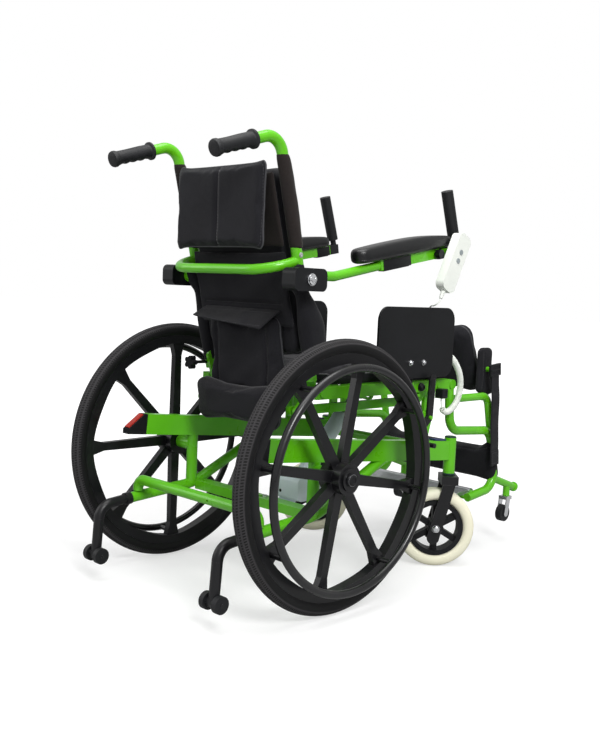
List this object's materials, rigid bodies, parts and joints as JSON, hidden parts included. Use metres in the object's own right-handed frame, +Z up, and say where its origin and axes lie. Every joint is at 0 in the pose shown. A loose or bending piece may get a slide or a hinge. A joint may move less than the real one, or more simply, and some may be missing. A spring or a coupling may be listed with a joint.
{
  "type": "standing wheelchair",
  "caption": "Standing wheelchair with a green tube frame, moulded rear wheels and an electric actuator that lifts the seat while the back stays upright.",
  "frame": {"origin": "on the floor, midway between the chair's two sides and midway between its rearmost and foremost points", "axes": "+Z up, +Y towards the front of the chair, +X towards the sitter's right"},
  "size_m": [0.708, 1.1961, 1.0421],
  "materials": {
    "green_paint": "glossy lime-green powder coat",
    "black_plastic": "satin moulded",
    "mag_black": "semi-gloss moulded",
    "red_lens": "reflective lens",
    "steel": "zinc plated",
    "black_paint": "satin black",
    "tyre_rubber": "dry tread",
    "cream_tyre": "matt solid rubber",
    "grip_rubber": "soft matt",
    "upholstery": "woven nylon",
    "webbing": "woven strap",
    "arm_vinyl": "smooth vinyl",
    "motor_shell": "pale grey housing",
    "handset_shell": "white satin",
    "key_grey": "soft keys",
    "plate_aluminium": "ribbed extrusion",
    "chrome_small": "plated"
  },
  "bodies": {
    "frame": {"left_side_frame": "green_paint", "right_side_frame": "green_paint", "cross_members": "green_paint", "rail_end_caps": "black_plastic", "rear_reflectors": "red_lens", "rear_axles": "steel", "anti_tip_bars": "black_paint", "frame_bolts": "steel"},
    "left_wheel": {"left_tyre": "tyre_rubber", "left_mag_wheel": "mag_black", "left_handrim": "black_plastic"},
    "right_wheel": {"right_tyre": "tyre_rubber", "right_mag_wheel": "mag_black", "right_handrim": "black_plastic"},
    "left_caster_yoke": {"left_caster_fork": "black_paint"},
    "right_caster_yoke": {"right_caster_fork": "black_paint"},
    "left_caster_wheel": {"left_caster_tyre": "cream_tyre", "left_caster_rim": "black_plastic"},
    "right_caster_wheel": {"right_caster_tyre": "cream_tyre", "right_caster_rim": "black_plastic"},
    "left_tip_roller": {"left_anti_tip_rollers": "grip_rubber"},
    "right_tip_roller": {"right_anti_tip_rollers": "grip_rubber"},
    "left_brake": {"left_brake_lever": "black_paint"},
    "right_brake": {"right_brake_lever": "black_paint"},
    "seat": {"seat_frame": "green_paint", "seat_cushion": "upholstery", "handset_cord": "handset_shell"},
    "left_guard": {"left_side_guard": "black_plastic"},
    "right_guard": {"right_side_guard": "black_plastic"},
    "links": {"lower_links": "green_paint"},
    "motor": {"actuator_housing": "motor_shell"},
    "piston": {"actuator_rod": "steel"},
    "back": {"back_frame": "green_paint", "push_grips": "grip_rubber", "back_rest": "upholstery", "back_flap": "upholstery", "rear_pocket": "upholstery"},
    "knob": {"back_knob": "black_plastic"},
    "left_arm": {"left_arm_housing": "black_plastic", "left_arm_frame": "green_paint", "left_arm_pad": "arm_vinyl"},
    "left_post": {"left_hand_post": "grip_rubber"},
    "left_clamp": {"left_clamp_knob": "black_plastic"},
    "right_arm": {"right_arm_housing": "black_plastic", "right_arm_frame": "green_paint", "right_arm_pad": "arm_vinyl", "handset": "handset_shell"},
    "right_post": {"right_hand_post": "grip_rubber"},
    "right_clamp": {"right_clamp_knob": "black_plastic"},
    "up_key": {"up_button": "key_grey"},
    "down_key": {"down_button": "key_grey"},
    "leg_rest": {"leg_frame": "green_paint", "shin_pad": "upholstery", "knee_pad": "upholstery", "knee_strap": "webbing"},
    "foot": {"footplate": "plate_aluminium"},
    "left_mini_yoke": {"left_mini_fork": "chrome_small"},
    "right_mini_yoke": {"right_mini_fork": "chrome_small"},
    "left_mini_roll": {"left_mini_wheel": "grip_rubber"},
    "right_mini_roll": {"right_mini_wheel": "grip_rubber"}
  },
  "joints": [
    {"name": "left_wheel_roll", "type": "hinge", "parent": "frame", "child": "left_wheel", "pos_m": [-0.295, -0.291, 0.305], "axis": [1, 0, 0], "continuous": true},
    {"name": "left_caster_swivel", "type": "hinge", "parent": "frame", "child": "left_caster_yoke", "pos_m": [-0.222, 0.219, 0.15], "axis": [0, 0, 1], "continuous": true},
    {"name": "left_caster_roll", "type": "hinge", "parent": "left_caster_yoke", "child": "left_caster_wheel", "pos_m": [-0.24321, 0.19779, 0.1025], "axis": [0.7071, -0.7071, 0], "continuous": true},
    {"name": "left_tip_roll", "type": "hinge", "parent": "frame", "child": "left_tip_roller", "pos_m": [-0.218, -0.573, 0.062], "axis": [1, 0, 0], "continuous": true},
    {"name": "left_brake_turn", "type": "hinge", "parent": "frame", "child": "left_brake", "pos_m": [-0.242, 0.09398, 0.40498], "axis": [-1, 0, 0], "range_deg": [0, 20]},
    {"name": "right_wheel_roll", "type": "hinge", "parent": "frame", "child": "right_wheel", "pos_m": [0.295, -0.291, 0.305], "axis": [1, 0, 0], "continuous": true},
    {"name": "right_caster_swivel", "type": "hinge", "parent": "frame", "child": "right_caster_yoke", "pos_m": [0.222, 0.219, 0.15], "axis": [0, 0, 1], "continuous": true},
    {"name": "right_caster_roll", "type": "hinge", "parent": "right_caster_yoke", "child": "right_caster_wheel", "pos_m": [0.20079, 0.19779, 0.1025], "axis": [0.7071, -0.7071, 0], "continuous": true},
    {"name": "right_tip_roll", "type": "hinge", "parent": "frame", "child": "right_tip_roller", "pos_m": [0.218, -0.573, 0.062], "axis": [1, 0, 0], "continuous": true},
    {"name": "right_brake_turn", "type": "hinge", "parent": "frame", "child": "right_brake", "pos_m": [0.242, 0.09398, 0.40498], "axis": [-1, 0, 0], "range_deg": [0, 20]},
    {"name": "seat_lift", "type": "hinge", "parent": "frame", "child": "seat", "pos_m": [0, 0.179, 0.478], "axis": [-1, 0, 0], "range_deg": [0, 72], "deforming": ["handset_cord"]},
    {"name": "back_level", "type": "hinge", "parent": "seat", "child": "back", "pos_m": [0, -0.258, 0.478], "axis": [1, 0, 0], "range_deg": [0, 72]},
    {"name": "leg_level", "type": "hinge", "parent": "seat", "child": "leg_rest", "pos_m": [0, 0.244, 0.478], "axis": [1, 0, 0], "range_deg": [0, 72]},
    {"name": "link_turn", "type": "hinge", "parent": "frame", "child": "links", "pos_m": [0, 0.134, 0.435], "axis": [-1, 0, 0], "range_deg": [0, 72]},
    {"name": "motor_swing", "type": "hinge", "parent": "frame", "child": "motor", "pos_m": [0, -0.171, 0.165], "axis": [1, 0, 0], "range_deg": [0, 4]},
    {"name": "piston_stroke", "type": "slide", "parent": "motor", "child": "piston", "axis": [0, 0.6805, 0.7328], "range_m": [0, 0.08]},
    {"name": "left_guard_lift", "type": "slide", "parent": "seat", "child": "left_guard", "axis": [0, 0, 1], "range_m": [0, 0.06]},
    {"name": "left_arm_flip", "type": "hinge", "parent": "back", "child": "left_arm", "pos_m": [-0.212, -0.341, 0.733], "axis": [1, 0, 0], "range_deg": [0, 70]},
    {"name": "left_post_reach", "type": "slide", "parent": "left_arm", "child": "left_post", "axis": [0, 0.9833, 0.1822], "range_m": [0, 0.08]},
    {"name": "left_clamp_turn", "type": "hinge", "parent": "left_arm", "child": "left_clamp", "pos_m": [-0.236, 0.1054, 0.81295], "axis": [1, 0, 0], "continuous": true},
    {"name": "left_mini_swivel", "type": "hinge", "parent": "leg_rest", "child": "left_mini_yoke", "pos_m": [-0.19, 0.557, 0.138], "axis": [0, 0, 1], "continuous": true},
    {"name": "left_mini_roll_turn", "type": "hinge", "parent": "left_mini_yoke", "child": "left_mini_roll", "pos_m": [-0.19, 0.543, 0.088], "axis": [1, 0, 0], "continuous": true},
    {"name": "right_guard_lift", "type": "slide", "parent": "seat", "child": "right_guard", "axis": [0, 0, 1], "range_m": [0, 0.06]},
    {"name": "right_arm_flip", "type": "hinge", "parent": "back", "child": "right_arm", "pos_m": [0.212, -0.341, 0.733], "axis": [1, 0, 0], "range_deg": [0, 70]},
    {"name": "right_post_reach", "type": "slide", "parent": "right_arm", "child": "right_post", "axis": [0, 0.9833, 0.1822], "range_m": [0, 0.08]},
    {"name": "right_clamp_turn", "type": "hinge", "parent": "right_arm", "child": "right_clamp", "pos_m": [0.236, 0.1054, 0.81295], "axis": [1, 0, 0], "continuous": true},
    {"name": "right_mini_swivel", "type": "hinge", "parent": "leg_rest", "child": "right_mini_yoke", "pos_m": [0.19, 0.557, 0.138], "axis": [0, 0, 1], "continuous": true},
    {"name": "right_mini_roll_turn", "type": "hinge", "parent": "right_mini_yoke", "child": "right_mini_roll", "pos_m": [0.19, 0.543, 0.088], "axis": [1, 0, 0], "continuous": true},
    {"name": "knob_turn", "type": "hinge", "parent": "back", "child": "knob", "pos_m": [-0.178, -0.321, 0.519], "axis": [0, 1, 0], "continuous": true},
    {"name": "foot_flip", "type": "hinge", "parent": "leg_rest", "child": "foot", "pos_m": [0, 0.409, 0.16231], "axis": [-1, 0, 0], "range_deg": [0, 80]},
    {"name": "up_press", "type": "slide", "parent": "right_arm", "child": "up_key", "axis": [-1, 0, 0], "range_m": [0, 0.001], "stiffness_N_per_m": 400},
    {"name": "down_press", "type": "slide", "parent": "right_arm", "child": "down_key", "axis": [-1, 0, 0], "range_m": [0, 0.001], "stiffness_N_per_m": 400}
  ],
  "couplings": [
    {"joint": "back_level", "follows": "seat_lift", "ratio": 1},
    {"joint": "leg_level", "follows": "seat_lift", "ratio": 1},
    {"joint": "link_turn", "follows": "seat_lift", "ratio": 1},
    {"joint": "motor_swing", "follows": "seat_lift", "ratio": 0.0467},
    {"joint": "piston_stroke", "follows": "seat_lift", "m_per_rad": 0.0608}
  ]
}
